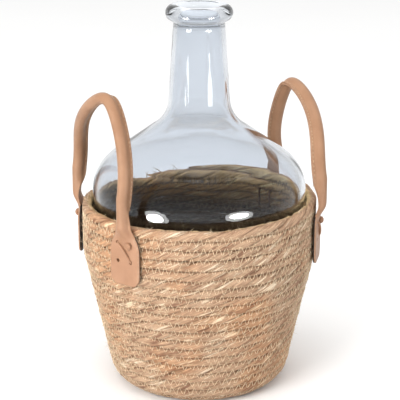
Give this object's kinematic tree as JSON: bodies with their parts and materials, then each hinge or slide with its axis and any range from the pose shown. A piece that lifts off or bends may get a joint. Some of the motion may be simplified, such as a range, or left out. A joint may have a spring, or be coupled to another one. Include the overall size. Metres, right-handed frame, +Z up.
{
  "type": "demijohn",
  "caption": "Clear glass demijohn with a long neck and beaded lip, standing in a coiled rope basket with laced, rolled leather handles; the bottle lifts out.",
  "frame": {"origin": "on the ground under the middle of the basket, on the bottle's axis", "axes": "+Z up along the bottle's axis, +X towards the right handle, -Y towards the front"},
  "size_m": [0.2272, 0.2182, 0.3559],
  "materials": {
    "clear_glass": "clear, glossy, faintly cool",
    "rush_rope": "twisted dry rush, matt, straw to brown",
    "tan_leather": "smooth tan leather, satin",
    "core_cord": "plain cord",
    "leather_lace": "thin tan lace, satin"
  },
  "bodies": {
    "basket": {"basket_base_coil": "rush_rope", "basket_wall_coil": "rush_rope", "left_front_tab": "tan_leather", "left_back_tab": "tan_leather", "right_front_tab": "tan_leather", "right_back_tab": "tan_leather", "left_front_lace": "leather_lace", "left_back_lace": "leather_lace", "right_front_lace": "leather_lace", "right_back_lace": "leather_lace"},
    "bottle": {"glass_bottle": "clear_glass"},
    "left_handle": {"left_handle_grip": "tan_leather", "left_handle_core": "core_cord"},
    "right_handle": {"right_handle_grip": "tan_leather", "right_handle_core": "core_cord"}
  },
  "joints": [
    {"name": "bottle_lift", "type": "slide", "parent": "basket", "child": "bottle", "axis": [0, 0, 1], "range_m": [0, 0.3]},
    {"name": "left_handle_swing", "type": "hinge", "parent": "basket", "child": "left_handle", "pos_m": [-0.09868, -0.00517, 0.179], "axis": [0.0523, -0.9986, 0], "range_deg": [-25, 80], "stiffness_Nm_per_rad": 0.08},
    {"name": "right_handle_swing", "type": "hinge", "parent": "basket", "child": "right_handle", "pos_m": [0.09868, -0.00517, 0.179], "axis": [0.0523, 0.9986, 0], "range_deg": [-25, 80], "stiffness_Nm_per_rad": 0.08}
  ]
}
